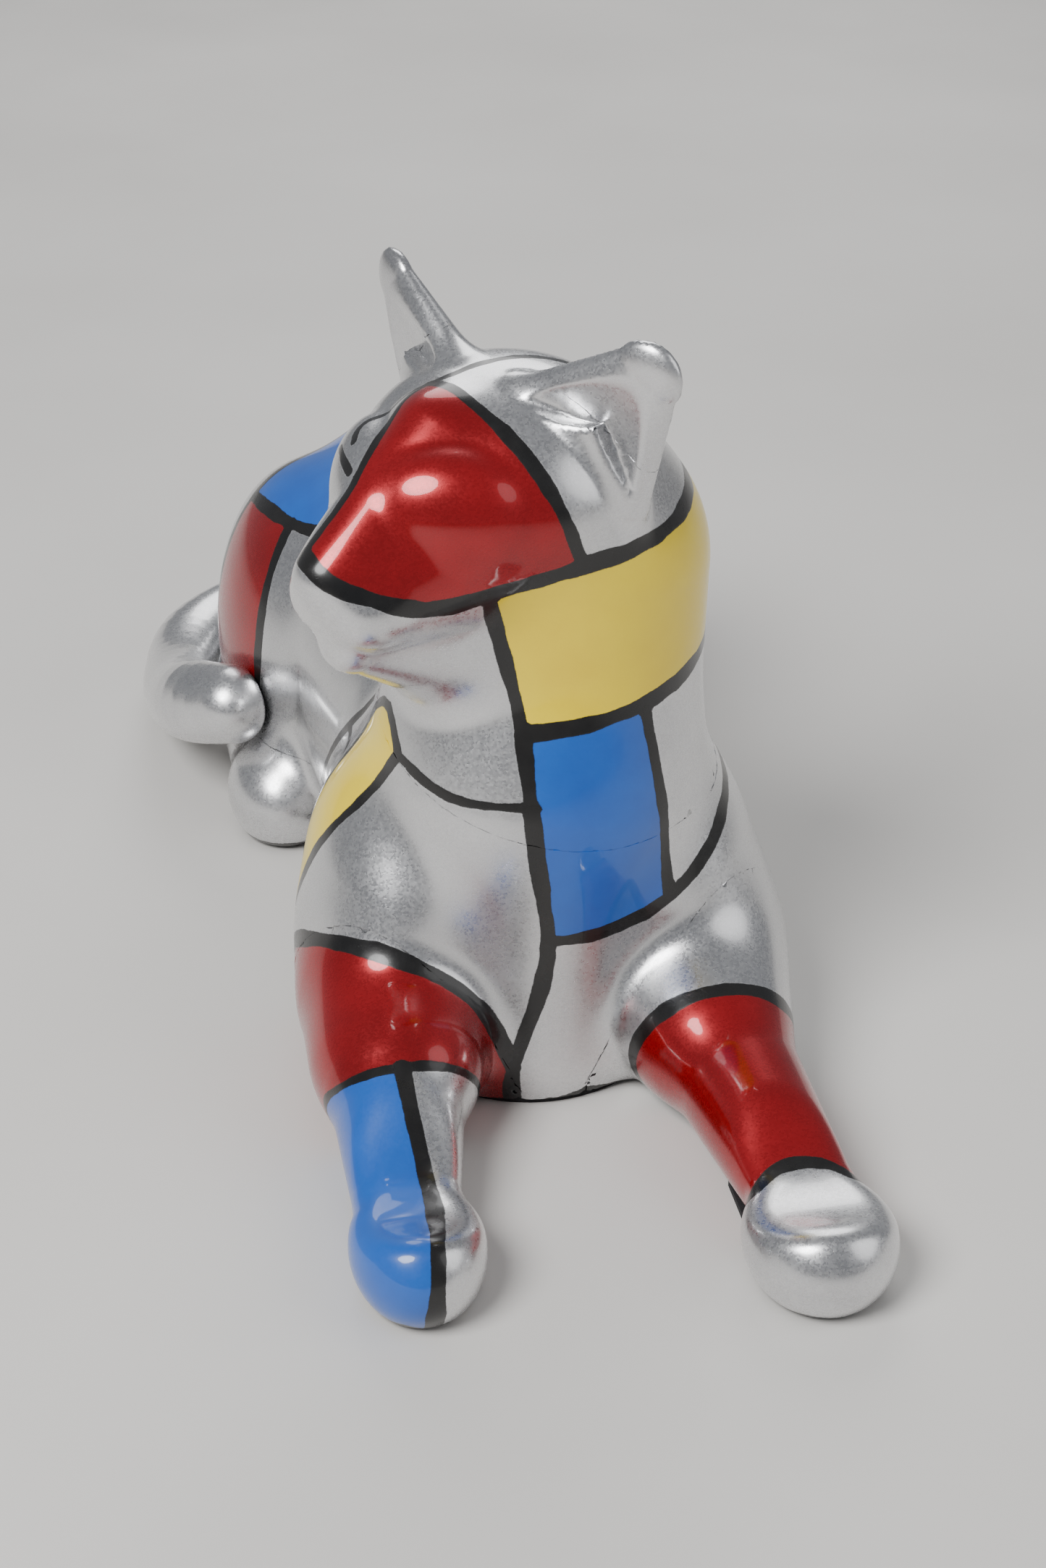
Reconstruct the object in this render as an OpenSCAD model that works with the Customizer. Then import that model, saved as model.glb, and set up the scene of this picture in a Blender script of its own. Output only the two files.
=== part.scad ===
// Lying cat figure, carved in separate wooden pieces that are dowelled and glued together.
// Millimetres. The figure stands on Z = 0, faces -Y, and its own left side is +X.

/* [Body] */
// Half width of the chest
chest_r = 43; // [36:0.5:50]
// Half width of the neck where it meets the head
neck_r = 45; // [34:0.5:48]
// Half width of the rump
rump_half_w = 60; // [50:1:70]
// Half height of the rump
rump_half_h = 71; // [60:1:80]
// How far the rump reaches behind the middle of the body
rump_y = 118; // [100:1:130]
// Half width of the belly
belly_half_w = 52; // [44:1:60]

/* [Legs] */
// Radius of a forearm at the elbow
forearm_r = 23; // [18:0.5:26]
// Radius of a forearm at the wrist
wrist_r = 15; // [11:0.5:18]
// How far the right front paw reaches forward
right_paw_y = 160; // [130:1:180]
// How far the left front paw reaches forward
left_paw_y = 176; // [130:1:190]
// Half width of a front paw
paw_half_w = 20; // [15:0.5:24]
// Half width of a hind paw
hind_paw_half_w = 19; // [15:0.5:24]

/* [Head] */
// Angle that the head is turned towards the right shoulder
head_turn = 57.5; // [0:0.5:80]
// Height of the middle of the skull
head_z = 180; // [165:1:195]
// Half width of the skull
skull_half_w = 43; // [38:0.5:50]
// Distance of an ear tip from the middle of the head
ear_spread = 49.5; // [36:0.5:56]
// Height of an ear tip above the middle of the skull
ear_rise = 42; // [34:1:56]

/* [Tail] */
// Radius of the tail along its length
tail_r = 15.5; // [12:0.5:18]
// Gap between the tail and the haunch it lies against
tail_gap = 0.8; // [0.5:0.1:2]

/* [Joinery] */
// Diameter of the neck dowel
neck_dowel_d = 18; // [12:1:24]
// Diameter of the two waist dowels
waist_dowel_d = 14; // [10:1:18]
// Diameter of the foreleg and tail dowels
leg_dowel_d = 10; // [8:1:14]
// Diameter of the hind foot dowels
foot_dowel_d = 8; // [6:1:10]
// Diameter of the ear pegs
ear_peg_d = 4.5; // [3:0.5:5]
// Radial clearance of a dowel in its hole
glue_gap = 0.05; // [0.02:0.01:0.1]
// Thickness of the felt under the figure
felt_t = 2; // [1:0.5:3]

/* [Hidden] */
// Edge of the small cubes that the carved surface is worked out on
cell = 7;
head_cell = 6.6;
leg_cell = 6.7;
ear_cell = 4.8;
tail_cell = 5;
$fn = 64;

// Where the pieces meet
waist_y = 44;
neck_cut = [0, -60, 96];
neck_axis = [0.17, -0.28, 1];
neck_dowel_at = [6, -36, 102];
shoulder_axis = [0.604, 0.737, 0.303];
shoulder_offset = -66.5;
hind_notch_y = 114;
hind_notch_z = 34;
tail_notch_y = 193;
tail_notch_z = 56;
ear_axis = [0.62, 0.05, 0.78];
ear_offset = 43;
head_at = [-5, -36, head_z];

// Dowel centres and lengths
waist_dowel_at = [24, waist_y, 62];
waist_dowel_l = 56;
neck_dowel_l = 70;
foreleg_dowel_at = [-39.8, -69, 27.7];
foreleg_dowel_l = 42;
hind_dowel_at = [58, hind_notch_y, 19];
hind_dowel_l = 32;
tail_dowel_at = [0, tail_notch_y, 32];
tail_dowel_l = 40;
ear_peg_at = [33.1, 5.8, 27.6];
ear_peg_l = 14;

// The line of the tail: centre and radius at each of its main bends
tail_bends = [
    [0, 192, 35, tail_r + 4],
    [-32, 217, 22, tail_r + 2],
    [-60, 222, 15, tail_r + 1],
    [-80, 206, 13.5, tail_r],
    [-87, 176, 16, tail_r - 0.5],
    [-88.5, 144, 25, tail_r - 1],
    [-85, 115, 37.5, tail_r - 1],
    [-75, 97, 45, tail_r - 2],
];

// The same line with its bends rounded off
tail_line = [
    for (i = [0:len(tail_bends) - 2])
        for (t = [0:0.25:0.75]) along(tail_bends, i, t),
    tail_bends[len(tail_bends) - 1]
];

function along(line, i, t) =
    let (
        a = line[max(i - 1, 0)],
        b = line[i],
        c = line[i + 1],
        d = line[min(i + 2, len(line) - 1)]
    )
    (2 * b + t * (c - a) + t * t * (2 * a - 5 * b + 4 * c - d)
        + t * t * t * (3 * b - a - 3 * c + d)) / 2;

// ---- Forms. Each gives how far a point is outside the form, negative inside ----

// An egg with half sizes r about c
function egg(p, c, r) =
    let (
        u = [(p.x - c.x) / r.x, (p.y - c.y) / r.y, (p.z - c.z) / r.z],
        near = norm(u)
    )
    near * (near - 1) / (norm([u.x / r.x, u.y / r.y, u.z / r.z]) + 1e-9);

// A round bar from a to b whose radius runs from ra to rb
function bar(p, a, b, ra, rb) =
    let (
        d = b - a,
        h = max(0, min(1, (p - a) * d / (d * d)))
    )
    norm(p - a - h * d) - (ra + h * (rb - ra));

// Two forms blended over a width k
function blend(a, b, k) =
    let (h = max(k - abs(a - b), 0) / k)
    min(a, b) - h * h * k / 4;

// One form hollowed out of another, with the edge softened over a width k
function hollow(a, b, k) = -blend(-a, b, k);

// A point turned about an axis through the origin
function turn_x(p, a) = [p.x, p.y * cos(a) - p.z * sin(a), p.y * sin(a) + p.z * cos(a)];
function turn_z(p, a) = [p.x * cos(a) - p.y * sin(a), p.x * sin(a) + p.y * cos(a), p.z];

// The same point on the figure's left side
function left(p) = [abs(p.x), p.y, p.z];

// An egg leaning by a degrees about X
function leaning_egg(p, c, r, a) = egg(c + turn_x(p - c, -a), c, r);

// ---- The cat, from its forms ----

function trunk(p) =
    let (
        s = left(p),
        belly = egg(p, [0, 26, 50], [belly_half_w, 96, 62]),
        rump = egg(p, [0, rump_y, 62], [rump_half_w, 82, rump_half_h]),
        thigh = leaning_egg(s, [43, 136, 50], [33, 54, 60], -14),
        chest = bar(p, [0, -44, 14], [4, -38, 84], chest_r, chest_r),
        neck = bar(p, [4, -36, 90], [11, -29, 152], neck_r + 2, neck_r - 1),
        right_shoulder = leaning_egg(p, [-41, -36, 50], [25, 42, 36], 10),
        left_shoulder = leaning_egg(p, [44, -36, 50], [27, 42, 38], 10),
        right_elbow = egg(p, [-49, -46, 28], [20.5, 36, 28]),
        left_elbow = egg(p, [54, -48, 28], [24, 37, 29]),
        back = blend(blend(belly, rump, 30), thigh, 14),
        front = blend(blend(back, chest, 20), neck, 20),
        shoulders = blend(blend(front, right_shoulder, 18), left_shoulder, 18)
    )
    blend(blend(shoulders, right_elbow, 14), left_elbow, 14);

// A front leg of the left side, with its paw at x, y. The wrist is scooped out behind the toes
function foreleg_form(p, x, y, w) =
    let (
        upper = bar(p, [46, -60, 22], [48, -98, 20], forearm_r, forearm_r - 3.5),
        lower = bar(p, [48, -98, 20], [x, -y + 22, 14], forearm_r - 3.5, wrist_r),
        swell = egg(p, [45.5, -82, 22], [25.5, 31, 25]),
        paw = egg(p, [x, -y + 2, 13], [w, 24, 19]),
        leg = blend(blend(min(upper, lower), swell, 6), paw, 4),
        scoop = norm([p.y + y - 10, p.z - 61.5]) - 40
    )
    hollow(leg, scoop, 6);

function hind_foot_form(p) =
    let (
        foot = bar(p, [58, 150, 22], [59, 108, 15], 20, 17),
        shin = bar(p, [50, 112, 48], [49, 88, 27], 14, 12),
        paw = egg(p, [60, 91, 14], [hind_paw_half_w, 24, 20])
    )
    blend(blend(foot, paw, 4), shin, 10);

// A point in the head's own directions, with the face towards -Y
function in_head(p) = turn_z(p - head_at, head_turn);

// A flattened bar for an ear: thin times thinner along its face direction n
function blade(p, a, b, ra, rb, n, thin) =
    bar(p + n * (((p - a) * n) * (thin - 1)), a, b, ra, rb);

eye_at = [13, -32, 1.5];
ear_root = [28, 2, 17];
ear_tip = [ear_spread, 4, ear_rise];
ear_face = [0.28, -0.95, -0.10] / norm([0.28, -0.95, -0.10]);
ear_fold = [38, -6, 27];

// The dish of the ear stops at a fold: two slanting edges that meet in the middle of the ear
function ear_form(s) =
    let (
        body = blade(s, ear_root, ear_tip, 25, 10, ear_face, 2.6),
        dish = blade(s, ear_root + ear_face * 11 + [1, 0, 0], ear_tip + ear_face * 5,
            28, 12, ear_face, 2.6),
        fold = max((s - ear_fold) * [-0.25, 0, 0.97], (s - ear_fold) * [0.94, 0, 0.34])
    )
    hollow(body, max(dish, -fold), 2);

function skull_form(q) =
    let (
        s = left(q),
        skull = egg(q, [0, 0, 0], [skull_half_w, 42, 34]),
        jowl = egg(q, [0, 9, -30], [42, 36, 34]),
        muzzle = egg(q, [0, -42, -16], [21, 28, 20]),
        lips = egg(s, [8, -57, -19], [10, 10, 9.5]),
        jaw = bar(q, [0, -56, -31], [2, -16, -38], 9.5, 27),
        bridge = bar(q, [0, -26, 20], [0, -65, -9], 10, 6.5),
        eye = egg(turn_z(s - eye_at, -43), [0, 0, 0], [26, 15.5, 20.5]),
        round_head = blend(blend(skull, jowl, 16), muzzle, 24),
        mouth = blend(blend(round_head, lips, 6), jaw, 4)
    )
    blend(blend(mouth, bridge, 10), eye, 2);

function head_form(p) =
    let (q = in_head(p))
    blend(skull_form(q), ear_form(left(q)), 7);

function xyz(v) = [v.x, v.y, v.z];

function tail_form(p, last = len(tail_line) - 2) =
    min([
        for (i = [0:last])
            bar(p, xyz(tail_line[i]), xyz(tail_line[i + 1]), tail_line[i][3], tail_line[i + 1][3])
    ]);

// The three groups that share one unbroken skin
function front_form(p) =
    let (
        right = foreleg_form([-p.x, p.y, p.z], 51.5, right_paw_y, paw_half_w - 1.5),
        left = foreleg_form(p, 55, left_paw_y, paw_half_w + 1)
    )
    blend(blend(trunk(p), right, 12), left, 12);

function neck_and_head(p) = blend(trunk(p), head_form(p), 10);

function rear_form(p) = blend(trunk(p), hind_foot_form(left(p)), 8);

function rear_with_root(p) = blend(rear_form(p), tail_form(p, 4), 10);

// The tail is clear of the haunch all the way from its root, where it is carved into the rump
function tail_and_root(p) =
    let (
        beside = hollow(tail_form(p), rear_form(p) - tail_gap, 3),
        past = max(tail_notch_y - cell - p.y, p.z - tail_notch_z - cell)
    )
    min(max(rear_with_root(p), past), beside);

function form(which, p) =
    which == "front" ? front_form(p) :
    which == "head" ? neck_and_head(p) :
    which == "rear" ? rear_with_root(p) :
    tail_and_root(p);

// ---- The skin: the form's surface, worked out inside a block of small cubes ----

// How far p is outside the form kept within the block from lo to hi
function kept(which, p, lo, hi, h) =
    let (
        c = (lo + hi) / 2,
        e = (hi - lo) / 2 - [h, h, h] * 0.6,
        q = p - c,
        out = max(abs(q.x) - e.x, abs(q.y) - e.y, abs(q.z) - e.z)
    )
    out > 2 * h ? out : max(out, form(which, p));

// A point moved onto the surface along the steepest way
function settle(which, p, lo, hi, h) =
    let (
        t = 0.5,
        f = kept(which, p, lo, hi, h),
        g = [
            kept(which, p + [t, 0, 0], lo, hi, h) - f,
            kept(which, p + [0, t, 0], lo, hi, h) - f,
            kept(which, p + [0, 0, t], lo, hi, h) - f
        ] / t,
        far = f / max(g * g, 0.2),
        way = max(-0.4 * h, min(0.4 * h, far))
    )
    p - g * way;

module skin(which, low, high, h) {
    n = [for (a = [0:2]) ceil((high[a] - low[a]) / h) + 1];
    lo = [for (a = [0:2]) h * floor(low[a] / h)];
    hi = lo + h * (n - [1, 1, 1]);
    step_of = [1, n.x, n.x * n.y];
    value = [
        for (k = [0:n.z - 1]) for (j = [0:n.y - 1]) for (i = [0:n.x - 1])
            kept(which, lo + h * [i, j, k], lo, hi, h)
    ];
    corners = [for (c = [0:7]) [c % 2, floor(c / 2) % 2, floor(c / 4)]];
    corner_steps = [for (c = corners) c * step_of];
    edges = [
        for (a = [0:7]) for (b = [a + 1:7])
            if (norm(corners[a] - corners[b]) == 1) [a, b]
    ];
    cubes = [
        for (k = [0:n.z - 2]) for (j = [0:n.y - 2]) for (i = [0:n.x - 2])
            let (
                first = [i, j, k] * step_of,
                v = [for (s = corner_steps) value[first + s]]
            )
            if (min(v) < 0 && max(v) >= 0)
                let (
                    hits = [
                        for (e = edges)
                            if ((v[e[0]] < 0) != (v[e[1]] < 0))
                                corners[e[0]] + (corners[e[1]] - corners[e[0]])
                                    * (v[e[0]] / (v[e[0]] - v[e[1]]))
                    ],
                    mean = [for (w = hits) 1] * hits / len(hits)
                )
                [first, settle(which, lo + h * ([i, j, k] + mean), lo, hi, h)]
    ];
    crossed = [
        for (k = [0:n.z - 2]) for (j = [0:n.y - 2]) for (i = [0:n.x - 2])
            let (at = [i, j, k], first = at * step_of, inside = value[first] < 0)
            for (d = [0:2])
                if (min(at[(d + 1) % 3], at[(d + 2) % 3]) > 0
                        && inside != (value[first + step_of[d]] < 0))
                    let (
                        u = step_of[(d + 1) % 3],
                        w = step_of[(d + 2) % 3]
                    )
                    inside
                        ? [first, first - w, first - u - w, first - u]
                        : [first, first - u, first - u - w, first - w]
    ];
    keys = [for (c = cubes) c[0]];
    points = [for (c = cubes) c[1]];
    corner_ids = [for (q = crossed) [for (id = q) place(keys, id, 0, len(keys) - 1)]];
    polyhedron(points, [for (q = corner_ids) each halves(q, points)]);
}

// The place of a value in a rising list
function place(list, wanted, a, b) =
    let (m = floor((a + b) / 2))
    list[m] == wanted ? m : list[m] < wanted ? place(list, wanted, m + 1, b) : place(list, wanted, a, m - 1);

// A quad as two triangles across its shorter diagonal
function halves(q, pt) =
    norm(pt[q[0]] - pt[q[2]]) < norm(pt[q[1]] - pt[q[3]])
        ? [[q[0], q[1], q[2]], [q[0], q[2], q[3]]]
        : [[q[0], q[1], q[3]], [q[1], q[2], q[3]]];

// ---- Cutting planes and holes ----

// Turns +Z to the direction n
module towards(n) rotate([0, acos(n.z / norm(n)), atan2(n.y, n.x)]) children();

// Everything beyond the plane through p with normal n
module beyond(p, n) translate(p) towards(n) translate([-300, -300, 0]) cube([600, 600, 600]);

// A block between two corners
module block(a, b) translate(a) cube(b - a);

module above_felt() block([-300, -400, felt_t], [300, 400, 400]);

module dowel(at, n, d, l) translate(at) towards(n) cylinder(d = d, h = l, center = true);

module hole(at, n, d, l) dowel(at, n, d + 2 * glue_gap, l + 2);

// Moves a part from the head's own directions to the figure
module on_head() translate(head_at) rotate([0, 0, -head_turn]) children();

module flip(side) mirror([side == "left" ? 0 : 1, 0, 0]) children();

// ---- Where each piece ends ----

module head_side() beyond(neck_cut, neck_axis);

module front_leg_side(side) flip(side == "left" ? "right" : "left")
    beyond(shoulder_axis * shoulder_offset, -shoulder_axis);

module ear_side(side) on_head() flip(side) beyond(ear_axis * ear_offset, ear_axis);

module hind_foot_side(side) flip(side)
    block([37, 58, -10], [110, hind_notch_y, hind_notch_z]);

module tail_side() block([-75, tail_notch_y, -10], [60, 300, tail_notch_z]);

// The rump's side of the same notch
module rump_side() {
    block([-50, 100, -10], [60, tail_notch_y, 100]);
    block([-50, 100, tail_notch_z], [60, 300, 100]);
}

// ---- Dowels in place ----

module neck_pin(grow) {
    if (grow) hole(neck_dowel_at, [0, 0, 1], neck_dowel_d, neck_dowel_l);
    else dowel(neck_dowel_at, [0, 0, 1], neck_dowel_d, neck_dowel_l);
}

module waist_pin(side, grow) flip(side) {
    if (grow) hole(waist_dowel_at, [0, 1, 0], waist_dowel_d, waist_dowel_l);
    else dowel(waist_dowel_at, [0, 1, 0], waist_dowel_d, waist_dowel_l);
}

module foreleg_pin(side, grow) flip(side == "left" ? "right" : "left") {
    if (grow) hole(foreleg_dowel_at, shoulder_axis, leg_dowel_d, foreleg_dowel_l);
    else dowel(foreleg_dowel_at, shoulder_axis, leg_dowel_d, foreleg_dowel_l);
}

module hind_foot_pin(side, grow) flip(side) {
    if (grow) hole(hind_dowel_at, [0, 1, 0], foot_dowel_d, hind_dowel_l);
    else dowel(hind_dowel_at, [0, 1, 0], foot_dowel_d, hind_dowel_l);
}

module tail_pin(grow) {
    if (grow) hole(tail_dowel_at, [0, 1, 0], leg_dowel_d, tail_dowel_l);
    else dowel(tail_dowel_at, [0, 1, 0], leg_dowel_d, tail_dowel_l);
}

module ear_pin(side, grow) on_head() flip(side) {
    if (grow) hole(ear_peg_at, ear_axis, ear_peg_d, ear_peg_l);
    else dowel(ear_peg_at, ear_axis, ear_peg_d, ear_peg_l);
}

// ---- Carved pieces ----

module forebody() color("silver") difference() {
    intersection() {
        skin("front", [-90, -130, -14], [90, 65, 126], cell);
        above_felt();
        block([-100, -200, 0], [100, waist_y, 200]);
    }
    head_side();
    front_leg_side("left");
    front_leg_side("right");
    neck_pin(true);
    waist_pin("left", true);
    waist_pin("right", true);
    foreleg_pin("left", true);
    foreleg_pin("right", true);
}

module hindbody() color("lightsteelblue") difference() {
    intersection() {
        skin("rear", [-100, 23, -14], [100, 224, 147], cell);
        above_felt();
        block([-120, waist_y, 0], [120, 300, 200]);
    }
    hind_foot_side("left");
    hind_foot_side("right");
    tail_side();
    waist_pin("left", true);
    waist_pin("right", true);
    hind_foot_pin("left", true);
    hind_foot_pin("right", true);
    tail_pin(true);
}

module head() color("gainsboro") difference() {
    skin("head", [-90, -120, 63], [70, 42, 270], head_cell);
    beyond(neck_cut, -neck_axis);
    ear_side("left");
    ear_side("right");
    neck_pin(true);
    ear_pin("left", true);
    ear_pin("right", true);
}

module ear(side, low, high) intersection() {
    difference() {
        skin("head", low, high, ear_cell);
        ear_pin(side, true);
    }
    ear_side(side);
}

module left_ear() color("silver") ear("left", [-20, -110, 190], [60, -10, 270]);

module right_ear() color("silver") ear("right", [-70, -60, 190], [10, 40, 270]);

module foreleg(side, low, high) difference() {
    intersection() {
        skin("front", low, high, leg_cell);
        front_leg_side(side);
        above_felt();
    }
    foreleg_pin(side, true);
}

module left_foreleg() color("firebrick") foreleg("left", [0, -210, -14], [98, -20, 84]);

module right_foreleg() color("royalblue") foreleg("right", [-98, -200, -14], [0, -20, 84]);

module hind_foot(side, low, high) difference() {
    intersection() {
        skin("rear", low, high, cell);
        hind_foot_side(side);
        above_felt();
    }
    hind_foot_pin(side, true);
}

module left_hind_foot() color("silver") hind_foot("left", [14, 42, -14], [98, 135, 56]);

module right_hind_foot() color("silver") hind_foot("right", [-98, 42, -14], [-14, 135, 56]);

module tail() color("darkgray") difference() {
    intersection() {
        skin("tail", [-125, 80, -15], [55, 255, 75], tail_cell);
        above_felt();
    }
    rump_side();
    tail_pin(true);
}

// ---- Wooden dowels ----

module neck_dowel() color("burlywood") neck_pin(false);

module left_waist_dowel() color("burlywood") waist_pin("left", false);

module right_waist_dowel() color("burlywood") waist_pin("right", false);

module left_foreleg_dowel() color("burlywood") foreleg_pin("left", false);

module right_foreleg_dowel() color("burlywood") foreleg_pin("right", false);

module left_hind_foot_dowel() color("burlywood") hind_foot_pin("left", false);

module right_hind_foot_dowel() color("burlywood") hind_foot_pin("right", false);

module tail_dowel() color("burlywood") tail_pin(false);

module left_ear_peg() color("burlywood") ear_pin("left", false);

module right_ear_peg() color("burlywood") ear_pin("right", false);

// ---- Felt under the figure ----

module chest_felt() color("black") linear_extrude(felt_t) union() {
    translate([0, -44]) circle(r = chest_r - 3);
    translate([-34, -44]) square([68, waist_y + 43]);
}

module rump_felt() color("black") linear_extrude(felt_t) union() {
    translate([-36, waist_y]) square([72, 70]);
    translate([0, 128]) circle(r = 44);
}

module paw_felt(x, y, l, r) color("black") linear_extrude(felt_t) union() {
    translate([x, y]) circle(r = r);
    translate([x - r, y]) square([2 * r, l]);
}

module left_front_paw_felt() paw_felt(55, -left_paw_y + 4, 40, paw_half_w - 6);

module right_front_paw_felt() paw_felt(-51.5, -right_paw_y + 4, 40, paw_half_w - 7);

module left_hind_paw_felt() paw_felt(60, 91, 20, hind_paw_half_w - 5);

module right_hind_paw_felt() paw_felt(-60, 91, 20, hind_paw_half_w - 5);

module tail_felt() color("black") linear_extrude(felt_t) union() {
    translate([-78, 210]) circle(r = 6);
    translate([-91, 184]) circle(r = 6);
    translate([-84.5, 197]) rotate(atan2(-26, -13)) square([29.1, 12], center = true);
}

forebody();
hindbody();
head();
left_ear();
right_ear();
left_foreleg();
right_foreleg();
left_hind_foot();
right_hind_foot();
tail();
neck_dowel();
left_waist_dowel();
right_waist_dowel();
left_foreleg_dowel();
right_foreleg_dowel();
left_hind_foot_dowel();
right_hind_foot_dowel();
tail_dowel();
left_ear_peg();
right_ear_peg();
chest_felt();
rump_felt();
left_front_paw_felt();
right_front_paw_felt();
left_hind_paw_felt();
right_hind_paw_felt();
tail_felt();
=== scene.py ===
"""Lying cat figure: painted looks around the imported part.

The carved pieces are worked out as forms in millimetres, the same forms as the part's, and cut where
the part is cut. Brush strokes are lines on the skin, and colours fill the fields between them.
"""

import math

import bpy
import numpy as np
from mathutils import Euler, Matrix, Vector, kdtree


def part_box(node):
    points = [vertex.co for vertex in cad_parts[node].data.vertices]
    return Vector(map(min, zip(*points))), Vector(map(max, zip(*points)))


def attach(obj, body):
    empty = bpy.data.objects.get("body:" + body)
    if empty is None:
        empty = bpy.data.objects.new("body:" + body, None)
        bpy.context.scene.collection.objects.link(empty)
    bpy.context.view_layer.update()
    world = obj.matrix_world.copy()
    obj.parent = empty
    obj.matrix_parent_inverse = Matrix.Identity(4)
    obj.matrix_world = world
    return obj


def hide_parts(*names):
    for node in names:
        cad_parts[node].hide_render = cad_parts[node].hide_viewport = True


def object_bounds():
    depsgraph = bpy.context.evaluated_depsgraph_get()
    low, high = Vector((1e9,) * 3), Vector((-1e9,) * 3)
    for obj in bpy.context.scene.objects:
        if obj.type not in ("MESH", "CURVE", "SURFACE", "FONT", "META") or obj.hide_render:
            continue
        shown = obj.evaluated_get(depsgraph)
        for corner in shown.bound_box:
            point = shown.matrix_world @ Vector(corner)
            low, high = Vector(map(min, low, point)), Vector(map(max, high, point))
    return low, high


MM = 0.001
CELL = 1.4
COARSE = 4

WAIST_Y = 44
NECK_CUT, NECK_AXIS = (0, -60, 96), (0.17, -0.28, 1)
SHOULDER_AXIS, SHOULDER_OFFSET = np.array((0.604, 0.737, 0.303)), -66.5
EAR_AXIS, EAR_OFFSET = np.array((0.62, 0.05, 0.78)), 43
HIND_NOTCH = ((37, 58, -10), (110, 114, 34))
TAIL_NOTCH_Y, TAIL_NOTCH_Z = 193, 56
FELT = 2
PAWS = {"right": (-51.5, -160, 18.5), "left": (55, -176, 21)}
HEAD_AT, HEAD_TURN = np.array((-5.0, -36, 180)), -57.5
TAIL_BENDS = [
    (0, 192, 35, 19.5),
    (-32, 217, 22, 17.5),
    (-60, 222, 15, 16.5),
    (-80, 206, 13.5, 15.5),
    (-87, 176, 16, 15),
    (-88.5, 144, 25, 14.5),
    (-85, 115, 37.5, 14.5),
    (-75, 97, 45, 13.5),
]
TAIL_GAP = 0.8


# ---- Forms: how far points are outside, negative inside ----

def turning(axis, degrees):
    """The matrix whose columns are the axes of a frame turned about one axis."""
    return np.array(Euler([math.radians(degrees) * (axis == a) for a in "xyz"]).to_matrix())


def egg(p, centre, sizes, turned=None):
    q = p - np.asarray(centre, float)
    if turned is not None:
        q = q @ turned
    r = np.asarray(sizes, float)
    near = np.linalg.norm(q / r, axis=1)
    far = np.linalg.norm(q / r**2, axis=1) + 1e-12
    return near * (near - 1) / far


def bar(p, a, b, ra, rb):
    a, b = np.asarray(a, float), np.asarray(b, float)
    d = b - a
    h = np.clip(((p - a) @ d) / (d @ d), 0, 1)
    return np.linalg.norm(p - a - h[:, None] * d, axis=1) - (ra + h * (rb - ra))


def blend(a, b, k):
    h = np.maximum(k - np.abs(a - b), 0) / k
    return np.minimum(a, b) - h * h * k / 4


def hollow(a, b, k):
    return -blend(-a, b, k)


def folded(p):
    """The points on the left side that mirror these."""
    s = p.copy()
    s[:, 0] = np.abs(s[:, 0])
    return s


def trunk(p):
    s = folded(p)
    f = egg(p, (0, 26, 50), (52, 96, 62))
    f = blend(f, egg(p, (0, 118, 62), (60, 82, 71)), 30)
    f = blend(f, egg(s, (43, 136, 50), (33, 54, 60), turning("x", -14)), 14)
    f = blend(f, bar(p, (0, -44, 14), (4, -38, 84), 43, 43), 20)
    f = blend(f, bar(p, (4, -36, 90), (11, -29, 152), 47, 44), 20)
    f = blend(f, egg(p, (-41, -36, 50), (25, 42, 36), turning("x", 10)), 18)
    f = blend(f, egg(p, (44, -36, 50), (27, 42, 38), turning("x", 10)), 18)
    f = blend(f, egg(p, (-49, -46, 28), (20.5, 36, 28)), 14)
    return blend(f, egg(p, (54, -48, 28), (24, 37, 29)), 14)


def foreleg(p, side):
    s = -1 if side == "right" else 1
    x, y, width = PAWS[side]
    upper = bar(p, (s * 46, -60, 22), (s * 48, -98, 20), 23, 19.5)
    lower = bar(p, (s * 48, -98, 20), (x, y + 22, 14), 19.5, 15)
    leg = blend(np.minimum(upper, lower), egg(p, (s * 45.5, -82, 22), (25.5, 31, 25)), 6)
    leg = blend(leg, egg(p, (x, y + 2, 13), (width, 24, 19)), 4)
    scoop = np.hypot(p[:, 1] - y - 10, p[:, 2] - 61.5) - 40
    return hollow(leg, scoop, 6)


def hind_foot(p):
    s = folded(p)
    f = bar(s, (58, 150, 22), (59, 108, 15), 20, 17)
    f = blend(f, egg(s, (60, 91, 14), (19, 24, 20)), 4)
    return blend(f, bar(s, (50, 112, 48), (49, 88, 27), 14, 12), 10)


def along(line, i, t):
    """A point of the smooth curve through the corners of a line, after corner i."""
    a, b, c, d = (np.asarray(line[min(max(i + n, 0), len(line) - 1)], float) for n in (-1, 0, 1, 2))
    return (2 * b + t * (c - a) + t * t * (2 * a - 5 * b + 4 * c - d) + t**3 * (3 * b - a - 3 * c + d)) / 2


def smooth(line, parts):
    between_corners = [along(line, i, n / parts) for i in range(len(line) - 1) for n in range(parts)]
    return np.array(between_corners + [line[-1]])


TAIL_LINE = smooth(TAIL_BENDS, 4)


def tail(p, stretches=None):
    f = np.full(len(p), 1e9)
    for a, b in list(zip(TAIL_LINE[:-1], TAIL_LINE[1:]))[:stretches]:
        f = np.minimum(f, bar(p, a[:3], b[:3], a[3], b[3]))
    return f


def in_head(p):
    return (p - HEAD_AT) @ turning("z", HEAD_TURN)


EAR_ROOT, EAR_TIP = np.array((28.0, 2, 17)), np.array((49.5, 4, 42))
EAR_FACE = np.array((0.28, -0.95, -0.10)) / np.linalg.norm((0.28, -0.95, -0.10))
EAR_FOLD = np.array((38, -6, 27))


def blade(p, a, b, ra, rb, thin):
    flat = p + np.outer((p - a) @ EAR_FACE, EAR_FACE) * (thin - 1)
    return bar(flat, a, b, ra, rb)


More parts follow.
